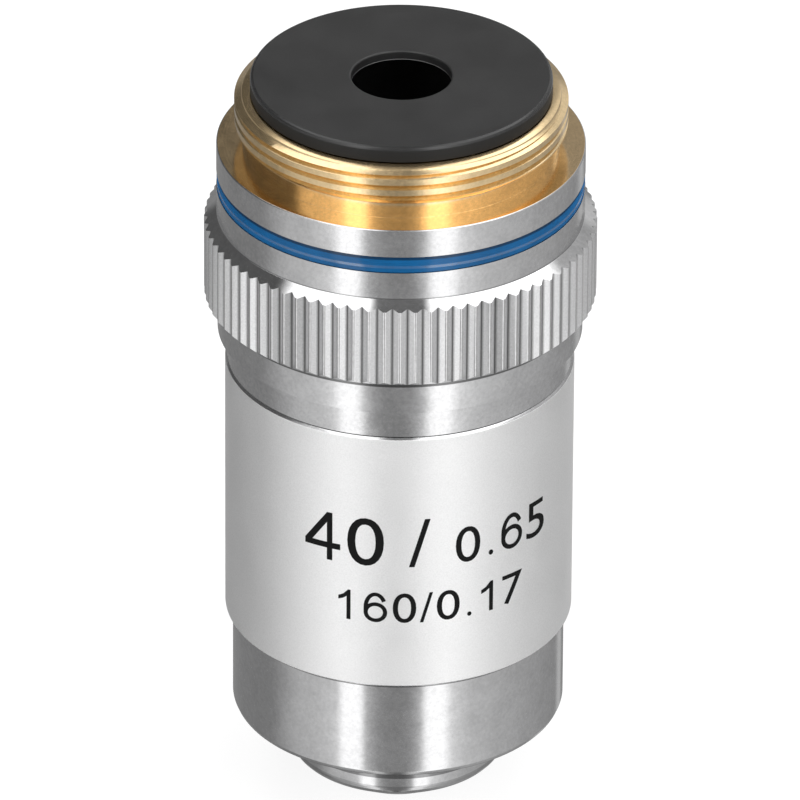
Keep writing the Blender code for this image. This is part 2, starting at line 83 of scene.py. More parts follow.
KNURL_GROOVES = 80
KNURL_DEPTH = 0.25
KNURL_LAND = 0.143
THREAD_PITCH = 0.7056  # 36 turns an inch
THREAD_TURNS = 4
THREAD_DEPTH = 0.30

FACETS = 240  # three for each groove of the knurl
SMALL_FACETS = 96

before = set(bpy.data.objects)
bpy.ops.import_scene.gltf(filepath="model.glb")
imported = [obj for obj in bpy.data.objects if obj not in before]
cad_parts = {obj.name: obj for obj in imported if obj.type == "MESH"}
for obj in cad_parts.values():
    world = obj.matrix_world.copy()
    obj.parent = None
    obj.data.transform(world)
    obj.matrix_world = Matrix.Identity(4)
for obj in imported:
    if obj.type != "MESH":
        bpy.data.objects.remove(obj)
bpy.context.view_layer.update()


# Modelling


def deselect_all():
    if bpy.context.mode != "OBJECT":
        bpy.ops.object.mode_set(mode="OBJECT")
    bpy.ops.object.select_all(action="DESELECT")


def pick(obj):
    deselect_all()
    obj.select_set(True)
    bpy.context.view_layer.objects.active = obj


def corner(name, point):
    """A plane merged to one corner at the point, in metres, left in edit mode."""
    deselect_all()
    bpy.ops.mesh.primitive_plane_add(size=MM, location=(0, 0, 0))
    obj = bpy.context.object
    obj.name = obj.data.name = name
    bpy.ops.object.mode_set(mode="EDIT")
    bpy.ops.mesh.select_mode(type="VERT")
    bpy.ops.mesh.select_all(action="SELECT")
    bpy.ops.mesh.merge(type="CENTER")
    bpy.ops.transform.translate(value=point)
    return obj


def extrude_along(points):
    """Extrudes the last corner, which is at the first point, through the others."""
    for a, b in zip(points, points[1:]):
        bpy.ops.mesh.extrude_region_move(TRANSFORM_OT_translate={"value": b - a})


def outline(name, points, closed=True):
    """Edges through points in millimetres, left selected in edit mode."""
    points = [Vector(p) * MM for p in points]
    obj = corner(name, points[0])
    extrude_along(points + points[:1] if closed else points)
    bpy.ops.mesh.select_all(action="SELECT")
    bpy.ops.mesh.remove_doubles(threshold=0.001 * MM)
    return obj


def joined(objects):
    """The objects as one, in the first of them."""
    deselect_all()
    for obj in objects:
        obj.select_set(True)
    bpy.context.view_layer.objects.active = objects[0]
    if len(objects) > 1:
        bpy.ops.object.join()
    return bpy.context.object


def tidy_mesh(merge=0.002):
    """Merges doubles and points the faces outwards. Needs edit mode."""
    bpy.ops.mesh.select_all(action="SELECT")
    bpy.ops.mesh.remove_doubles(threshold=merge * MM)
    bpy.ops.mesh.normals_make_consistent(inside=False)


def smooth(obj, under=30, weighted=True):
    """Smooth shading. Weighted, it leaves broad faces plain and turns only the narrow ones at their edges."""
    pick(obj)
    bpy.ops.object.shade_smooth_by_angle(angle=math.radians(under))
    if weighted:
        # The modifier takes such small faces for nothing, so the mesh is enlarged while it works
        obj.data.transform(Matrix.Scale(ENLARGED, 4))
        even = obj.modifiers.new("even", "WEIGHTED_NORMAL")
        even.keep_sharp = True
        bpy.ops.object.modifier_apply(modifier=even.name)
        obj.data.transform(Matrix.Scale(1 / ENLARGED, 4))


def turned(name, section, edge=0.03, facets=FACETS, weighted=True):
    """Extrudes a half section of (radius, height), eases its corners and spins it round the axis."""
    obj = outline(name, [(r, 0, z) for r, z in section], closed=section[0][0] > 0)
    if edge:
        bpy.ops.object.mode_set(mode="OBJECT")
        for v in obj.data.vertices:
            v.select = v.co.x > 0.01 * MM
        for e in obj.data.edges:
            e.select = False
        bpy.ops.object.mode_set(mode="EDIT")
        bpy.ops.mesh.select_mode(type="VERT")
        bpy.ops.mesh.bevel(offset=edge * MM, segments=2, affect="VERTICES", clamp_overlap=True)
    bpy.ops.mesh.select_all(action="SELECT")
    bpy.ops.mesh.spin(steps=facets, angle=math.tau, center=(0, 0, 0), axis=(0, 0, 1))
    tidy_mesh()
    bpy.ops.object.mode_set(mode="OBJECT")
    smooth(obj, weighted=weighted)
    return obj


def subtract(obj, cutter):
    """Cuts the cutter from obj and throws the cutter away."""
    pick(obj)
    modifier = obj.modifiers.new("cut", "BOOLEAN")
    modifier.operation = "DIFFERENCE"
    modifier.solver = "EXACT"
    modifier.object = cutter
    bpy.ops.object.modifier_apply(modifier=modifier.name)
    bpy.data.objects.remove(cutter)


def assign(obj, mats, choose):
    """Gives each face the material whose place in mats choose(radius, height) names."""
    for mat in mats:
        obj.data.materials.append(mat)
    for face in obj.data.polygons:
        x, y, z = face.center / MM
        face.material_index = choose(math.hypot(x, y), z)


def finish_piece(obj, body, slot, *nodes):
    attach(obj, body)
    if nodes:
        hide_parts(*nodes)


def arc(centre, radii, first, last, steps=14):
    """Corners along part of an ellipse, angles in degrees."""
    angles = [math.radians(first + (last - first) * i / steps) for i in range(steps + 1)]
    return [(centre[0] + radii[0] * math.cos(a), centre[1] + radii[1] * math.sin(a)) for a in angles]


# Materials


PAINTED_BAND_EDGE = 0.05  # softness of the edges of a band of painted shade or of the painted gloss line, in mm


def new_material(name, colour, roughness, metallic=0.0):
    mat = bpy.data.materials.new(name)
    mat.use_nodes = True
    shader = mat.node_tree.nodes["Principled BSDF"]
    shader.inputs["Base Color"].default_value = (*colour, 1.0)
    shader.inputs["Roughness"].default_value = roughness
    shader.inputs["Metallic"].default_value = metallic
    return mat, mat.node_tree, shader


def node(tree, kind, **values):
    made = tree.nodes.new(kind)
    for key, value in values.items():
        if key in made.inputs:
            made.inputs[key].default_value = value
        else:
            setattr(made, key, value)
    return made


def link(tree, source, target):
    tree.links.new(source, target)


def math_node(tree, operation, a, b=None):
    made = node(tree, "ShaderNodeMath", operation=operation)
    for socket, value in zip(made.inputs, (a, b)):
        if isinstance(value, (int, float)):
            socket.default_value = value
        elif value is not None:
            link(tree, value, socket)
    return made.outputs[0]


def split_axes(tree, vector):
    made = node(tree, "ShaderNodeSeparateXYZ")
    link(tree, vector, made.inputs[0])
    return made.outputs


def object_coordinates(tree):
    return split_axes(tree, node(tree, "ShaderNodeTexCoord").outputs["Object"])


def turning_coordinates(tree, around=0.0):
    """Radius, a little of the angle, and height: a pattern then runs round the axis, as a lathe leaves it."""
    x, y, z = object_coordinates(tree)
    squares = [math_node(tree, "MULTIPLY", value, value) for value in (x, y)]
    radius = math_node(tree, "SQRT", math_node(tree, "ADD", *squares))
    turn = math_node(tree, "ABSOLUTE", math_node(tree, "ARCTAN2", x, y))
    angle = math_node(tree, "MULTIPLY", turn, around * MM)
    combined = node(tree, "ShaderNodeCombineXYZ")
    for value, socket in zip((radius, angle, z), combined.inputs):
        link(tree, value, socket)
    return combined.outputs[0]


def noise(tree, vector, size, detail=3.0, roughness=0.6):
    """Noise with blotches about size millimetres across, on Object coordinates if no others are given."""
    made = node(tree, "ShaderNodeTexNoise", Scale=1 / (size * MM), Detail=detail, Roughness=roughness)
    if vector is None:
        vector = node(tree, "ShaderNodeTexCoord").outputs["Object"]
    link(tree, vector, made.inputs["Vector"])
    return made.outputs["Fac"]


def ranged(tree, value, low, high, new_low, new_high):
    made = node(tree, "ShaderNodeMapRange")
    made.inputs["From Min"].default_value = low
    made.inputs["From Max"].default_value = high
    made.inputs["To Min"].default_value = new_low
    made.inputs["To Max"].default_value = new_high
    link(tree, value, made.inputs["Value"])
    return made.outputs["Result"]


def window(tree, value, low, high, edge):
    """1 between low and high, falling softly to 0 over edge at both ends."""
    rise = node(tree, "ShaderNodeMapRange", interpolation_type="SMOOTHSTEP")
    fall = node(tree, "ShaderNodeMapRange", interpolation_type="SMOOTHSTEP")
    for made, a, b in ((rise, low - edge / 2, low + edge / 2), (fall, high + edge / 2, high - edge / 2)):
        made.inputs["From Min"].default_value = a
        made.inputs["From Max"].default_value = b
        link(tree, value, made.inputs["Value"])
    return math_node(tree, "MULTIPLY", rise.outputs["Result"], fall.outputs["Result"])


def tinted(tree, value, dark, light):
    """Mixes two colours by a value from 0 to 1."""
    made = node(tree, "ShaderNodeMix", data_type="RGBA")
    link(tree, value, made.inputs[0])
    made.inputs[6].default_value = (*dark, 1.0)
    made.inputs[7].default_value = (*light, 1.0)
    return made.outputs[2]


def multiplied(tree, share, colour, level):
    """The colour, multiplied by the level as far as share says."""
    made = node(tree, "ShaderNodeMix", data_type="RGBA", blend_type="MULTIPLY")
    link(tree, share, made.inputs[0])
    link(tree, colour, made.inputs[6])
    made.inputs[7].default_value = (level, level, level, 1.0)
    return made.outputs[2]


def shaded(tree, colour, painted_shade_bands):
    """Paints shade into the colour: multiplies it by a level between two heights, for the shade in narrow
    corners.
    """
    height = object_coordinates(tree)[2]
    for low, high, level in painted_shade_bands:
        in_painted_shade = window(tree, height, low * MM, high * MM, PAINTED_BAND_EDGE * MM)
        colour = multiplied(tree, in_painted_shade, colour, level)
    return colour


def bump(tree, shader, height, depth):
    """Bump of that depth in millimetres."""
    made = node(tree, "ShaderNodeBump", Strength=1.0, Distance=depth * MM)
    link(tree, height, made.inputs["Height"])
    link(tree, made.outputs[0], shader.inputs["Normal"])


def uneven(tree, value, low, high, colour, spread):
    """The colour, darker or lighter by the spread as the value goes from low to high."""
    dark = [c * (1 - spread) for c in colour]
    light = [min(1.0, c * (1 + spread)) for c in colour]
    return tinted(tree, ranged(tree, value, low, high, 0, 1), dark, light)


def turned_metal(name, colour, roughness, line_depth, spread=0.05, painted_shade_bands=()):
    """Metal with the fine rings that a lathe leaves, slightly uneven in polish and tone, with shade painted
    in between given heights.
    """
    mat, tree, shader = new_material(name, colour, roughness, 1.0)
    fine = noise(tree, turning_coordinates(tree), size=0.045, detail=2.0)
    coarse = noise(tree, turning_coordinates(tree, around=4.0), size=0.5, detail=4.0)
    cloudy = noise(tree, None, size=1.6, detail=4.0)
    mottled = noise(tree, None, size=0.24, detail=2.0)
    lines = math_node(tree, "ADD", fine, math_node(tree, "MULTIPLY", coarse, 0.6))
    bump(tree, shader, lines, line_depth)
    worn = math_node(tree, "ADD", coarse, cloudy)
    polish = ranged(tree, worn, 0.7, 1.3, roughness - spread, roughness + spread)
    link(tree, polish, shader.inputs["Roughness"])
    tone = uneven(tree, math_node(tree, "ADD", mottled, cloudy), 0.75, 1.25, colour, spread=0.09)
    link(tree, shaded(tree, tone, painted_shade_bands), shader.inputs["Base Color"])
    return mat


def grained_metal(name, colour, roughness, size, depth, patchy=0.05, root=None):
    """Metal with a fine frosted grain, as blasting and satin plating leave it, with shade painted darker
    towards the root radius.
    """
    mat, tree, shader = new_material(name, colour, roughness, 1.0)
    grain = noise(tree, None, size, detail=4.0, roughness=0.7)
    cloudy = noise(tree, None, size=2.5, detail=3.0)
    bump(tree, shader, grain, depth)
    polish = ranged(tree, cloudy, 0.3, 0.7, roughness - 0.03, roughness + 0.03)
    link(tree, polish, shader.inputs["Roughness"])
    tone = uneven(tree, grain, 0.35, 0.65, colour, patchy)
    # Painted shade in the grooves: the colour falls towards black near the root radius
    if root:
        radius = split_axes(tree, turning_coordinates(tree))[0]
        root_painted_shade = ranged(tree, radius, root * MM, (root + 0.09) * MM, 0.8, 0)
        tone = multiplied(tree, root_painted_shade, tone, 0.0)
    link(tree, tone, shader.inputs["Base Color"])
    return mat


def paint(name, colour, roughness, grain_size, grain_depth, specular=0.5, painted_shade_bands=()):
    """Paint or plastic with a fine skin texture and slight changes of tone, with shade painted in between
    given heights.
    """
    mat, tree, shader = new_material(name, colour, roughness)
    skin = noise(tree, None, grain_size, detail=4.0)
    cloudy = noise(tree, None, size=3.0, detail=3.0)
    bump(tree, shader, skin, grain_depth)
    polish = ranged(tree, cloudy, 0.3, 0.7, roughness - 0.05, roughness + 0.05)
    link(tree, polish, shader.inputs["Roughness"])
    tone = uneven(tree, cloudy, 0.3, 0.7, colour, spread=0.15)
    link(tree, shaded(tree, tone, painted_shade_bands), shader.inputs["Base Color"])
    shader.inputs["Specular IOR Level"].default_value = specular
    return mat


def add_painted_highlight_line(mat, low, high):
    """A clear coat, strongest between two heights in mm, which paints in the highlight line that the enamel
    gives where it curves up to meet its groove.
    """
    tree = mat.node_tree
    shader = tree.nodes["Principled BSDF"]
    line = window(tree, object_coordinates(tree)[2], low * MM, high * MM, PAINTED_BAND_EDGE * MM)
    link(tree, ranged(tree, line, 0, 1, 0.2, 1.0), shader.inputs["Coat Weight"])
    shader.inputs["Coat Roughness"].default_value = 0.06
    shader.inputs["Coat IOR"].default_value = 2.1


def lens_glass(name, colour, ior):
    mat, tree, shader = new_material(name, colour, 0.0)
    shader.inputs["Transmission Weight"].default_value = 1.0
    shader.inputs["IOR"].default_value = ior
    smear = noise(tree, None, size=0.8, detail=3.0)
    link(tree, ranged(tree, smear, 0.3, 0.7, 0.0, 0.04), shader.inputs["Roughness"])
    return mat


# Painted shade: each band is a low and a high edge along the axis, and the share of light left between them.
# The bands darken the colour under the knurl, at the grip's top, at the guide ring's bottom and top, on the
# nose and along the enamel's top edge
collar_painted_shade_bands = [(KNURL_Z - 0.51, KNURL_Z - 0.27, 0.25), (GRIP_TOP_Z - 0.05, GRIP_TOP_Z + 0.07, 0.5)]
ring_painted_shade_bands = [(RING_Z - 0.17, RING_Z + 0.15, 0.25), (SLEEVE_Z - 0.21, SLEEVE_Z - 0.05, 0.3)]
nose_painted_shade_bands = [(NOSE_EDGE_Z - 0.2, NOSE_EDGE_Z + 0.12, 0.7), (NOSE_EDGE_Z + 0.7, NOSE_EDGE_Z + 1.3, 0.4)]
enamel_painted_shade_bands = [(BLUE_TOP_Z - 0.23, BLUE_TOP_Z + 0.04, 0.35)]

bright_chrome = turned_metal(
    "bright_chrome", (0.62, 0.62, 0.625), 0.17, 0.002, spread=0.04, painted_shade_bands=collar_painted_shade_bands
)
ring_chrome = turned_metal("ring_chrome", (0.60, 0.60, 0.605), 0.13, 0.0012, spread=0.04, painted_shade_bands=ring_painted_shade_bands)
nose_chrome = turned_metal("nose_chrome", (0.60, 0.60, 0.605), 0.13, 0.0012, spread=0.04, painted_shade_bands=nose_painted_shade_bands)
# The knurl's metal, with shade painted into its groove roots
knurl_chrome = grained_metal(
    "knurl_chrome", (0.70, 0.70, 0.705), 0.36, 0.10, 0.004, patchy=0.1, root=GRIP_R - KNURL_DEPTH
)
bevel_chrome = turned_metal("bevel_chrome", (0.68, 0.68, 0.685), 0.06, 0.0003, spread=0.02)
satin_chrome = grained_metal("satin_chrome", (0.90, 0.90, 0.90), 0.50, 0.09, 0.004)
bare_brass = turned_metal("bare_brass", (0.86, 0.635, 0.36), 0.14, 0.001, spread=0.04)
thread_brass = turned_metal("thread_brass", (0.87, 0.66, 0.38), 0.2, 0.001, spread=0.04)
steel = turned_metal("steel", (0.55, 0.55, 0.56), 0.28, 0.0012)
blue_enamel = paint(
    "blue_enamel", (0.003, 0.092, 0.25), 0.28, 1.5, 0.0003, specular=0.0, painted_shade_bands=enamel_painted_shade_bands
)
# Painted highlight: a line of strong coat across the enamel band
add_painted_highlight_line(blue_enamel, BLUE_Z + 0.31, BLUE_Z + 0.49)
black_plastic = paint("black_plastic", (0.024, 0.024, 0.024), 0.42, 0.12, 0.004)
black_edge = paint("black_edge", (0.024, 0.024, 0.024), 0.22, 0.12, 0.002)
# Painted shade: a darker copy of the black plastic, for the cap's side wall
black_side_shaded = paint("black_side_shaded", (0.014, 0.014, 0.014), 0.5, 0.12, 0.004, specular=0.25)
# Painted highlight: light grey for the bright line on the lower edge of the cap's bore
bore_edge_highlight = paint("bore_edge_highlight", (0.30, 0.30, 0.30), 0.3, 0.12, 0.002)
black_paint = paint("black_paint", (0.02, 0.02, 0.02), 0.6, 0.08, 0.004)
ink = paint("ink", (0.004, 0.004, 0.004), 0.7, 0.08, 0.002, specular=0.15)
crown_glass = lens_glass("crown_glass", (0.97, 0.985, 0.98), 1.52)
flint_glass = lens_glass("flint_glass", (0.985, 0.98, 0.95), 1.62)


# Mount collar with its thread and knurl


def v_groove_cutters():
    """One upright wedge, turned round the axis to cut every groove of the knurl."""
    pitch = math.tau * GRIP_R / KNURL_GROOVES
    over = 0.25 * KNURL_LAND
    half = 0.5 * (pitch - KNURL_LAND) * (1 + over / KNURL_DEPTH)
    low, high = KNURL_Z - KNURL_DEPTH, GRIP_TOP_Z + KNURL_DEPTH
    root, outer = GRIP_R - KNURL_DEPTH, GRIP_R + over
    obj = outline("groove_wedges", [(root, 0, low), (outer, half, low), (outer, -half, low)])
    bpy.ops.mesh.edge_face_add()
    bpy.ops.mesh.extrude_region_move(TRANSFORM_OT_translate={"value": (0, 0, (high - low) * MM)})
    bpy.ops.mesh.select_all(action="SELECT")
    bpy.ops.mesh.normals_make_consistent(inside=False)
    bpy.ops.object.mode_set(mode="OBJECT")
    obj.data.transform(Matrix.Rotation(math.pi / KNURL_GROOVES, 4, "Z"))
    bpy.ops.object.mode_set(mode="EDIT")
    bpy.ops.mesh.select_all(action="SELECT")
    copies = KNURL_GROOVES - 1
    turn = math.tau * copies / KNURL_GROOVES
    bpy.ops.mesh.spin(steps=copies, dupli=True, angle=turn, center=(0, 0, 0), axis=(0, 0, 1))
    bpy.ops.object.mode_set(mode="OBJECT")
    return obj


def thread_cutter():
    """A V section screwed up the thread from the relief to past its end."""
    half_top, half_root, over = 0.17, 0.03, 0.12
    slope = (half_top - half_root) / THREAD_DEPTH
    wide = half_top + slope * over
    root = THREAD_R - THREAD_DEPTH
    start = RELIEF_TOP_Z + 0.125
    section = [(root, -half_root), (root, half_root), (THREAD_R + over, wide), (THREAD_R + over, -wide)]
    obj = outline("thread_cutter", [(r, 0, start + z) for r, z in section])
    bpy.ops.object.mode_set(mode="OBJECT")
    screw = obj.modifiers.new("screw", "SCREW")
    screw.axis = "Z"
    screw.angle = math.tau
    screw.screw_offset = THREAD_PITCH * MM
    screw.iterations = THREAD_TURNS
    screw.steps = screw.render_steps = FACETS
    screw.use_merge_vertices = False
    bpy.ops.object.modifier_apply(modifier=screw.name)
    bpy.ops.object.mode_set(mode="EDIT")
    bpy.ops.mesh.select_all(action="DESELECT")
    bpy.ops.mesh.select_mode(type="EDGE")
    bpy.ops.mesh.select_non_manifold(extend=False)
    bpy.ops.mesh.fill()
    tidy_mesh(0.0005)
    bpy.ops.object.mode_set(mode="OBJECT")
    return obj


def mount_collar():
    section = [
        (MOUNT_BORE_R, MOUNT_SPIGOT_Z),
        (MOUNT_BORE_R, RELIEF_TOP_Z),
        (RELIEF_R, RELIEF_TOP_Z),
        (RELIEF_R, SHOULDER_Z),
        (COLLAR_R - 0.06, SHOULDER_Z),
        (COLLAR_R, SHOULDER_Z - 0.06),
        (COLLAR_R, BLUE_TOP_Z),
        (COLLAR_R - 0.35, BLUE_TOP_Z),
        (COLLAR_R - 0.35, BLUE_Z),
        (COLLAR_R, BLUE_Z),
        (COLLAR_R, GRIP_TOP_Z - 0.02),
        (COLLAR_R - 0.1, GRIP_TOP_Z - 0.1),
        (COLLAR_R - 0.1, KNURL_Z + 0.1),
        (UPPER_BAND_R, KNURL_Z + 0.05),
        (UPPER_BAND_R, UPPER_BAND_Z),
        (LOWER_BAND_R, UPPER_BAND_Z),
        (LOWER_BAND_R, LOWER_BAND_Z),
        (SPIGOT_R, LOWER_BAND_Z),
        (SPIGOT_R, MOUNT_SPIGOT_Z),
    ]
    obj = turned("mount_collar_turned", section, edge=0.02)

    def choose(radius, height):
        if radius < MOUNT_BORE_R + 0.02:
            return 2
        return int(height > SHOULDER_Z - 0.12 and radius < COLLAR_R - 0.07)

    assign(obj, [bright_chrome, bare_brass, black_paint], choose)
    finish_piece(obj, "housing", "bright_chrome", "mount_collar")


def knurled_grip():
    """The rolled grip of the mount collar, with its bevel."""
    chamfer = 0.25
    section = [
        (COLLAR_R - 0.2, KNURL_Z),
        (COLLAR_R - 0.2, GRIP_TOP_Z),
        (COLLAR_R, GRIP_TOP_Z),
        (GRIP_R, BEVEL_Z),
        (GRIP_R, KNURL_Z + chamfer),
        (GRIP_R - chamfer, KNURL_Z),
    ]
    obj = turned("knurled_grip", section, edge=0.015, facets=2 * FACETS)
    subtract(obj, v_groove_cutters())
    smooth(obj, 25)

    def choose(radius, height):
        return int(KNURL_Z + 0.3 < height < BEVEL_Z + 0.05 and radius < GRIP_R - 0.02)

    assign(obj, [bevel_chrome, knurl_chrome], choose)
    finish_piece(obj, "housing", "bright_chrome")


def mount_thread():
    """The top of the mount collar, above its relief."""
    section = [
        (MOUNT_BORE_R, RELIEF_TOP_Z),
        (MOUNT_BORE_R, THREAD_END_Z),
        (STOP_R + 0.08, THREAD_END_Z),
        (THREAD_R - 0.46, THREAD_END_Z - 0.11),
        (THREAD_R - 0.44, THREAD_END_Z - 0.20),
        (THREAD_R, THREAD_END_Z - 0.40),
        (THREAD_R, CREST_Z),
        (RELIEF_R, RELIEF_TOP_Z),
    ]
    obj = turned("mount_thread", section, edge=0.02, weighted=False)
    subtract(obj, thread_cutter())
    smooth(obj, 25, weighted=False)
    assign(obj, [thread_brass, black_paint], lambda radius, height: int(radius < MOUNT_BORE_R + 0.02))
    finish_piece(obj, "housing", "bright_chrome")


def blue_band():
    """Enamel that fills the collar's groove and falls away a little more at its top."""
    low, high = BLUE_Z + 0.03, BLUE_TOP_Z - 0.03
    middle, half = (low + high) / 2, (high - low) / 2
    crown = []
    for i in range(-6, 7):
        fall = 0.12 if i > 0 else 0.03
        crown.append((COLLAR_R - 0.02 - fall * (i / 6) ** 2, middle + half * i / 6))
    section = [(COLLAR_R - 0.32, low), *crown, (COLLAR_R - 0.32, high)]
    obj = turned("blue_band", section, edge=0)
    obj.data.materials.append(blue_enamel)
    finish_piece(obj, "housing", "blue_enamel", "colour_band")


def sleeve():
    low, high = SLEEVE_Z + 0.05, LOWER_BAND_Z - 0.05
    chamfer = 0.15
    section = [
        (SPIGOT_R + 0.1, low),
        (SPIGOT_R + 0.1, high),
        (SLEEVE_R - chamfer, high),
        (SLEEVE_R, high - chamfer),
        (SLEEVE_R, low + chamfer),
        (SLEEVE_R - chamfer, low),
    ]
    obj = turned("satin_sleeve", section, edge=0.03)
    assign(obj, [satin_chrome, bright_chrome], lambda radius, height: int(radius < SLEEVE_R - 0.02))
    finish_piece(obj, "housing", "satin_chrome", "outer_sleeve")


def guide_ring():
    section = [
        (NOSE_R + 0.15, RING_Z),
        (NOSE_R + 0.15, LIP_Z),
        (GUIDE_R, LIP_Z),
        (GUIDE_R, GUIDE_TOP_Z),
        (SPIGOT_R, GUIDE_TOP_Z),
        (SPIGOT_R, SLEEVE_Z),
        (RING_R - 0.15, SLEEVE_Z),
        (RING_R, SLEEVE_Z - 0.15),
        (RING_R, RING_Z + 0.4),
        (RING_R - 0.12, RING_Z + 0.12),
        (RING_R - 0.4, RING_Z),
    ]
    obj = turned("guide_ring", section, edge=0.03)
    obj.data.materials.append(ring_chrome)
    finish_piece(obj, "housing", "polished_chrome", "guide_barrel")


def rear_cap():
    plug_r, plug_z, inside_r = 8.5, 45.75, 7.7
    section = [
        (APERTURE_R, TOP_Z - 0.6),
        (APERTURE_R, TOP_Z - 0.54),
        (APERTURE_R, TOP_Z - 0.1),
        (APERTURE_R + 0.03, TOP_Z - 0.03),
        (APERTURE_R + 0.1, TOP_Z),
        (STOP_R - 0.2, TOP_Z),
        (STOP_R - 0.06, TOP_Z - 0.07),
        (STOP_R, TOP_Z - 0.2),
        (STOP_R, THREAD_END_Z + 0.05),
        (plug_r, THREAD_END_Z + 0.05),
        (plug_r, plug_z),
        (inside_r, plug_z),
        (inside_r, TOP_Z - 0.6),
    ]
    obj = turned("rear_cap", section, edge=0.03)

    def choose(radius, height):
        # Painted highlight: the bore's lower edge takes the light grey
        if radius < APERTURE_R + 0.02 and height < TOP_Z - 0.53:
            return 2
        # Painted shade: the side wall takes the darker copy of the black plastic
        if radius > STOP_R - 0.05 and height < TOP_Z - 0.25:
            return 3
        return int(radius > STOP_R - 0.21 and height > TOP_Z - 0.25)

    assign(obj, [black_plastic, black_edge, bore_edge_highlight, black_side_shaded], choose)
    finish_piece(obj, "housing", "matt_black", "rear_stop")


def nose_piece():
    """Cylinder and cone, hollow for the front cell, with a neck that reaches up into the lens tube."""
    rim_r, cell_r, bore_r, neck_r = 3.6, 2.70, 4.80, 6.00
    neck_top = LIP_Z + 4
    cone = NOSE_EDGE_Z - 0.35
    slope = math.atan2(cone, NOSE_FOOT_R - rim_r)
    section = [
        (cell_r, 0),
        (cell_r, 2.7),
        (bore_r, 4.6),
        (bore_r, neck_top),
        (neck_r, neck_top),
        (neck_r, LIP_Z),
        (NOSE_R, LIP_Z),
        (NOSE_R, RING_Z),
        (NOSE_FOOT_R, NOSE_EDGE_Z),
        (NOSE_FOOT_R - 0.04, cone + 0.16),
        (NOSE_FOOT_R - 0.12, cone),
        (NOSE_FOOT_R - 0.35 * math.cos(slope), cone - 0.35 * math.sin(slope)),
        (rim_r, 0),
    ]
    obj = turned("nose_piece", section, edge=0.02, facets=160)
    obj.data.materials.append(nose_chrome)
    finish_piece(obj, "lens_barrel", "polished_chrome", "nose")


def front_end():
    """Pressed cell with its half-ball lens, which is flat towards the specimen."""
    seat_r, mouth_r, cell_r = 1.55, 1.95, 2.65
    cell_z, seat_z, mouth_z = 0.05, 1.67, 2.55
    section = [(seat_r, cell_z), (seat_r, seat_z), (mouth_r, mouth_z), (cell_r, mouth_z), (cell_r, cell_z)]
    obj = turned("front_lens_cell", section, edge=0.02, facets=SMALL_FACETS)
    obj.data.materials.append(steel)
    finish_piece(obj, "lens_barrel", "steel", "front_cell")
    ball_r, flat_z = 1.5, 0.17
    dome = arc((0, flat_z), (ball_r, ball_r), 0, 90, 16)[:-1]
    section = [(0, flat_z), *dome, (0, flat_z + ball_r)]
    obj = turned("half_ball_lens", section, edge=0, facets=SMALL_FACETS)
    obj.data.materials.append(crown_glass)
    finish_piece(obj, "lens_barrel", "crown_glass", "front_lens")


# Numbers on the sleeve


def outlines_of_one():
    stem, right, top = 0.53, 0.786, 2.09
    flag = [(0.62, top), (0.32, 1.76), (0, 1.6), (0, 1.34), (0.3, 1.45), (stem, 1.62)]
    return [[(stem, 0), (right, 0), (right, top), *flag]]


def outlines_of_four():
    """The slope, the bar left of the stem, the stem and the bar right of it."""
    stem, right, end = 1.50, 1.86, 2.38
    bar_low, bar_high, inner_top, top = 0.83, 1.23, 2.64, 3.34
    inner = (0.51, bar_high)
    return [
        [(0, bar_high), inner, (stem, inner_top), (stem, top)],
        [(0, bar_low), (stem, bar_low), (stem, bar_high), inner, (0, bar_high)],
        [(stem, 0), (right, 0), (right, bar_low), (right, bar_high), (right, top)]
        + [(stem, top), (stem, inner_top), (stem, bar_high), (stem, bar_low)],
        [(right, bar_low), (end, bar_low), (end, bar_high), (right, bar_high)],
    ]


def outlines_of_six():
    """A hook that runs down the left side and under the bowl, and the rest of the bowl."""
    stroke, hook_end = 0.36, 28
    meet = math.degrees(math.acos(stroke - 1))
    bowl, whole = (1.0, 1.0), (1.0, 1.5)
    inner = (1 - stroke, 1 - stroke)
    left = arc(whole, whole, hook_end, 180) + arc(bowl, bowl, 180, 270)
    left += arc(bowl, inner, 270, 180) + [(stroke, 1.0 + math.sin(math.radians(meet)))]
    left += arc(whole, (1 - stroke, 1.5 - stroke), 180, hook_end)
    right = arc(bowl, bowl, -90, meet, 24) + arc(bowl, inner, 180, -90, 24)
    return [left, right]


DRAWN = {"1": outlines_of_one(), "4": outlines_of_four(), "6": outlines_of_six()}


def drawn_figure(name, outlines):
    """A flat figure drawn by its corners, for those that the font draws with faults."""
    made = []
    for shape in outlines:
        made.append(outline(name, [(x, y, 0) for x, y in shape]))
        bpy.ops.mesh.edge_face_add()
        bpy.ops.object.mode_set(mode="OBJECT")
    obj = joined(made)
    bpy.ops.object.mode_set(mode="EDIT")
    tidy_mesh(0.001)
    bpy.ops.object.mode_set(mode="OBJECT")
    return obj


def numeral(text, from_deg, to_deg, base, height):
    """One character, fitted to its width round the sleeve and its height, as a flat mesh in X and Z."""
    if text in DRAWN:
        obj = drawn_figure("figure", DRAWN[text])
    else:
        deselect_all()
        bpy.ops.object.text_add(location=(0, 0, 0))
        obj = bpy.context.object
        obj.data.body = text
        obj.data.size = 5 * MM
        obj.data.resolution_u = 6
        bpy.ops.object.convert(target="MESH")
        obj = bpy.context.object
    xs = [v.co.x for v in obj.data.vertices]
    ys = [v.co.y for v in obj.data.vertices]
    left, right = (math.radians(a) * SLEEVE_R * MM for a in (from_deg, to_deg))
    wide = (right - left) / (max(xs) - min(xs))
    tall = height * MM / (max(ys) - min(ys))
    fit = Matrix.Diagonal((wide, tall, 1, 1)) @ Matrix.Translation((-min(xs), -min(ys), 0))
    obj.data.transform(Matrix.Translation((left, base * MM, 0)) @ fit)
    return obj


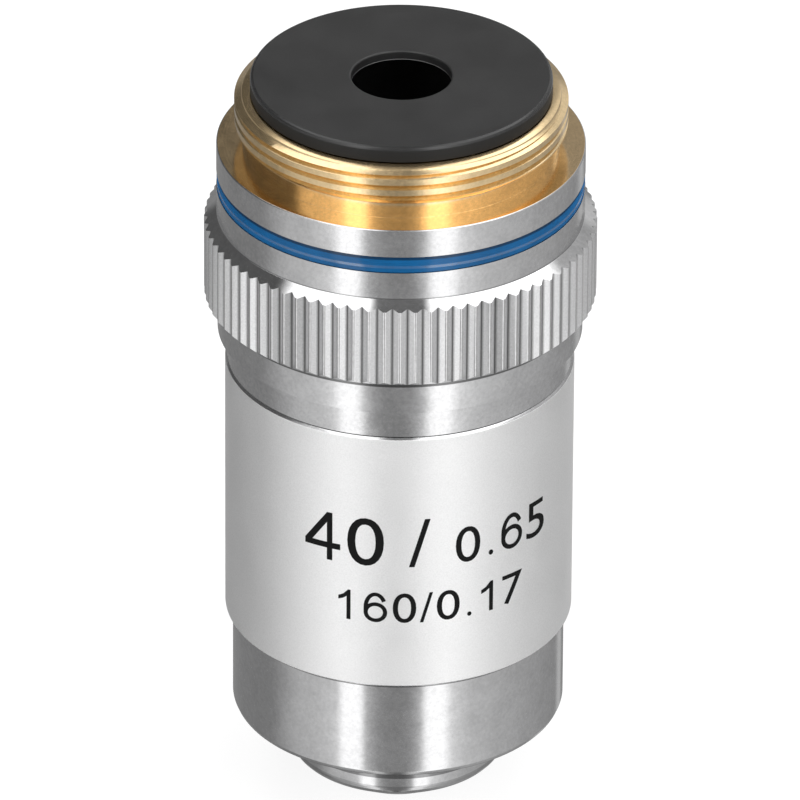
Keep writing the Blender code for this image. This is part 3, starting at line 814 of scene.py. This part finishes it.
def numbers():
    """The plain numbers of a 40x objective: power, aperture, tube length and cover glass."""
    # Character, its left and right as angles from the front, its base line and its height
    glyphs = [
        ("4", -32.1, -19.4, 20.6, 3.34),
        ("0", -17.0, -4.8, 20.6, 3.34),
        ("/", 3.4, 10.4, 20.6, 3.34),
        ("0", 19.0, 27.7, 20.52, 2.49),
        (".", 30.9, 32.6, 20.6, 0.36),
        ("6", 35.8, 44.7, 20.52, 2.49),
        ("5", 46.8, 55.9, 20.52, 2.49),
        ("1", -20.0, -15.8, 16.65, 2.09),
        ("6", -11.4, -3.6, 16.65, 2.09),
        ("0", -1.8, 5.9, 16.65, 2.09),
        ("/", 7.1, 11.4, 16.65, 2.09),
        ("0", 12.7, 20.5, 16.65, 2.09),
        (".", 23.2, 24.7, 16.65, 0.3),
        ("1", 28.2, 32.7, 16.65, 2.09),
        ("7", 36.4, 44.8, 16.65, 2.09),
    ]
    obj = joined([numeral(*glyph) for glyph in glyphs])
    obj.name = obj.data.name = "sleeve_numbers"
    bpy.ops.object.mode_set(mode="EDIT")
    bpy.ops.mesh.select_all(action="SELECT")
    bpy.ops.mesh.remove_doubles(threshold=0.001 * MM)
    # Cut into narrow strips, so that the flat shapes can follow the sleeve
    strip = 0.25 * MM
    for i in range(-26, 46):
        bpy.ops.mesh.select_all(action="SELECT")
        bpy.ops.mesh.bisect(plane_co=(i * strip, 0, 0), plane_no=(1, 0, 0))
    bpy.ops.object.mode_set(mode="OBJECT")
    inner, outer = (SLEEVE_R - 0.02) * MM, (SLEEVE_R + 0.012) * MM
    for v in obj.data.vertices:
        angle = v.co.x / (SLEEVE_R * MM)
        v.co = (inner * math.sin(angle), -inner * math.cos(angle), v.co.y)
    bpy.ops.object.mode_set(mode="EDIT")
    bpy.ops.mesh.select_all(action="SELECT")
    bpy.ops.mesh.normals_make_consistent(inside=False)
    bpy.ops.object.mode_set(mode="OBJECT")
    outward = sum(f.normal.x * f.center.x + f.normal.y * f.center.y > 0 for f in obj.data.polygons)
    if outward < len(obj.data.polygons) / 2:
        bpy.ops.object.mode_set(mode="EDIT")
        bpy.ops.mesh.select_all(action="SELECT")
        bpy.ops.mesh.flip_normals()
        bpy.ops.object.mode_set(mode="OBJECT")
    wall = obj.modifiers.new("ink", "SOLIDIFY")
    wall.thickness = outer - inner
    wall.offset = 1.0
    bpy.ops.object.modifier_apply(modifier=wall.name)
    obj.data.materials.append(ink)
    smooth(obj)
    finish_piece(obj, "housing", "matt_black")


# Pieces inside. The spring is drawn again, and the others keep the part's own shapes


def coil_spring():
    """The spring as a bent wire. Each end has a closed coil."""
    box_low, box_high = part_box("spring")
    wire_r = 0.4 * MM
    slack = 0.995  # keeps the wire inside the part's own spring
    radius = box_high[0] - wire_r
    low, high = box_low[2] + wire_r, box_high[2] - wire_r
    coils, dead_rise, steps = 5.5, 0.84 * MM, 26
    points = []
    for i in range(round(coils * steps) + 1):
        t = i / steps
        if t < 1:
            z = low + dead_rise * t
        elif t > coils - 1:
            z = high - dead_rise * (coils - t)
        else:
            z = low + dead_rise + (high - low - 2 * dead_rise) * (t - 1) / (coils - 2)
        points.append(Vector((radius * math.cos(math.tau * t), radius * math.sin(math.tau * t), z)))
    obj = corner("coil_spring", points[0])
    extrude_along(points)
    bpy.ops.object.mode_set(mode="OBJECT")
    bpy.ops.object.convert(target="CURVE")
    obj = bpy.context.object
    obj.data.bevel_depth = wire_r * slack
    obj.data.bevel_resolution = 3
    obj.data.use_fill_caps = True
    bpy.ops.object.convert(target="MESH")
    obj = bpy.context.object
    obj.name = obj.data.name = "coil_spring"
    bpy.ops.object.shade_smooth_by_angle(angle=math.radians(40))
    obj.data.materials.clear()
    obj.data.materials.append(steel)
    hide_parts("spring")
    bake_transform(obj)


def dress_nodes():
    looks = {
        "key_pin": steel,
        "spring_retainer": black_paint,
        "lens_tube": black_paint,
        "middle_cell": black_paint,
        "middle_crown": crown_glass,
        "middle_flint": flint_glass,
        "middle_lens_ring": black_paint,
        "spacer_ring": black_paint,
        "rear_cell": black_paint,
        "rear_crown": crown_glass,
        "rear_flint": flint_glass,
        "rear_lens_ring": black_paint,
        "diaphragm": black_paint,
        "lock_ring": black_paint,
    }
    for name, mat in looks.items():
        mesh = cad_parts[name].data
        mesh.materials.clear()
        mesh.materials.append(mat)


# Studio


# Brightness of the room round the part, by azimuth in degrees: 0 is the front and 90 the right
ROOM = [
    (-180, 0.25), (-123, 0.24), (-97, 0.26), (-89, 0.40),
    (-74, 0.68), (-60, 0.75), (-47, 0.95), (-42.5, 1.0), (-39, 2.0), (-25.5, 2.0), (-22.5, 0.7),
    (-12.6, 0.33), (-6, 0.29), (3.4, 0.29), (8, 0.35), (13.8, 0.60), (16.5, 0.8), (20, 2.0), (33, 2.0),
    (37.5, 1.2), (53.5, 0.80), (81, 0.60), (117, 0.42), (145, 0.3), (150, 0.6), (158, 0.6), (162, 0.25),
]


def studio_light():
    """A grey room with two bright strips in front and two boxes overhead, with a dark gap between them."""
    world = bpy.data.worlds.new("studio")
    bpy.context.scene.world = world
    world.use_nodes = True
    tree = world.node_tree
    tree.nodes.clear()
    x, y, z = split_axes(tree, node(tree, "ShaderNodeTexCoord").outputs["Generated"])
    azimuth = math_node(tree, "ARCTAN2", x, math_node(tree, "MULTIPLY", y, -1.0))
    around = ranged(tree, azimuth, -math.pi, math.pi, 0, 1)
    ramp = node(tree, "ShaderNodeValToRGB")
    for i, (degrees, level) in enumerate(ROOM):
        at = degrees / 360 + 0.5
        stop = ramp.color_ramp.elements[0] if i == 0 else ramp.color_ramp.elements.new(at)
        stop.position = at
        stop.color = (level / 2, level / 2, level / 2, 1)
    # The ramp's own last stop lies straight behind, where the first one does
    ramp.color_ramp.elements[-1].color = (0.125, 0.125, 0.125, 1)
    link(tree, around, ramp.inputs[0])
    wall = window(tree, z, -0.97, 0.80, 0.16)
    total = math_node(tree, "MULTIPLY", math_node(tree, "MULTIPLY", ramp.outputs["Color"], 2.0), wall)
    # A dark curtain high on the left
    curtain_wide = window(tree, azimuth, math.radians(-200), math.radians(-80), 0.2)
    curtain = math_node(tree, "MULTIPLY", curtain_wide, window(tree, z, 0.12, 0.84, 0.12))
    total = math_node(tree, "MULTIPLY", total, ranged(tree, curtain, 0, 1, 1, 0.12))
    total = math_node(tree, "MULTIPLY", total, ranged(tree, z, 0.0, 0.4, 1, 1.5))
    # Overhead: the right box, the left box and the gap between them, as left, right, edge, lowest and level
    for left, right, edge, lowest, level in (
        (0.15, 0.72, 0.06, 0.66, 2.2),
        (-0.545, -0.15, 0.06, 0.74, 2.2),
        (-0.16, 0.16, 0.05, 0.66, 0.13),
    ):
        across, up = window(tree, x, left, right, edge), window(tree, z, lowest, 1.1, 0.12)
        box = math_node(tree, "MULTIPLY", across, up)
        total = math_node(tree, "ADD", math_node(tree, "MULTIPLY", box, level), total)
    total = math_node(tree, "ADD", total, 0.10)
    paths = node(tree, "ShaderNodeLightPath")
    seen = node(tree, "ShaderNodeBackground")
    seen.inputs["Color"].default_value = (1, 1, 1, 1)
    lit = node(tree, "ShaderNodeBackground")
    link(tree, total, lit.inputs["Strength"])
    mixed = node(tree, "ShaderNodeMixShader")
    link(tree, paths.outputs["Is Camera Ray"], mixed.inputs[0])
    link(tree, lit.outputs[0], mixed.inputs[1])
    link(tree, seen.outputs[0], mixed.inputs[2])
    out = node(tree, "ShaderNodeOutputWorld")
    link(tree, mixed.outputs[0], out.inputs["Surface"])
    # The floor is left out of reflections, so the light behind it is found by the reflections alone
    world.cycles.sampling_method = "NONE"


def floor():
    deselect_all()
    bpy.ops.mesh.primitive_circle_add(vertices=96, radius=2.0, fill_type="NGON", location=(0, 0, 0))
    obj = bpy.context.object
    obj.name = "floor"
    mat = bpy.data.materials.new("floor")
    mat.use_nodes = True
    tree = mat.node_tree
    tree.nodes.clear()
    paths = node(tree, "ShaderNodeLightPath")
    matte = node(tree, "ShaderNodeBsdfDiffuse")
    matte.inputs["Color"].default_value = (0.85, 0.85, 0.85, 1)
    thin = node(tree, "ShaderNodeBsdfDiffuse")
    thin.inputs["Color"].default_value = (0.22, 0.22, 0.22, 1)
    glow = node(tree, "ShaderNodeEmission", Strength=0.86)
    bright = node(tree, "ShaderNodeAddShader")
    link(tree, thin.outputs[0], bright.inputs[0])
    link(tree, glow.outputs[0], bright.inputs[1])
    mixed = node(tree, "ShaderNodeMixShader")
    link(tree, paths.outputs["Is Camera Ray"], mixed.inputs[0])
    link(tree, matte.outputs[0], mixed.inputs[1])
    link(tree, bright.outputs[0], mixed.inputs[2])
    out = node(tree, "ShaderNodeOutputMaterial")
    link(tree, mixed.outputs[0], out.inputs["Surface"])
    obj.data.materials.append(mat)
    obj.visible_glossy = False


def camera():
    """Looks down on the front at 29.9 degrees from 0.86 m, with the top leaning a little to the right."""
    elevation, roll, distance = math.radians(29.9), math.radians(0.35), 0.860
    target = Vector((0.03, 0, 26.21)) * MM
    back = Vector((0, -math.cos(elevation), math.sin(elevation)))
    right = Vector((1, 0, 0))
    up = back.cross(right)
    tilted_up = up * math.cos(roll) - right * math.sin(roll)
    tilted_right = right * math.cos(roll) + up * math.sin(roll)
    data = bpy.data.cameras.new("camera")
    data.sensor_width = 36
    data.lens = 629.6
    data.clip_start, data.clip_end = 0.05, 20
    obj = bpy.data.objects.new("camera", data)
    bpy.context.scene.collection.objects.link(obj)
    turn = Matrix((tilted_right, tilted_up, back)).transposed().to_4x4()
    obj.matrix_world = Matrix.Translation(target + back * distance) @ turn
    bpy.context.scene.camera = obj


mount_collar()
knurled_grip()
mount_thread()
blue_band()
sleeve()
numbers()
guide_ring()
rear_cap()
nose_piece()
front_end()
coil_spring()
dress_nodes()
studio_light()
floor()
camera()
bpy.context.scene.view_settings.view_transform = "Standard"
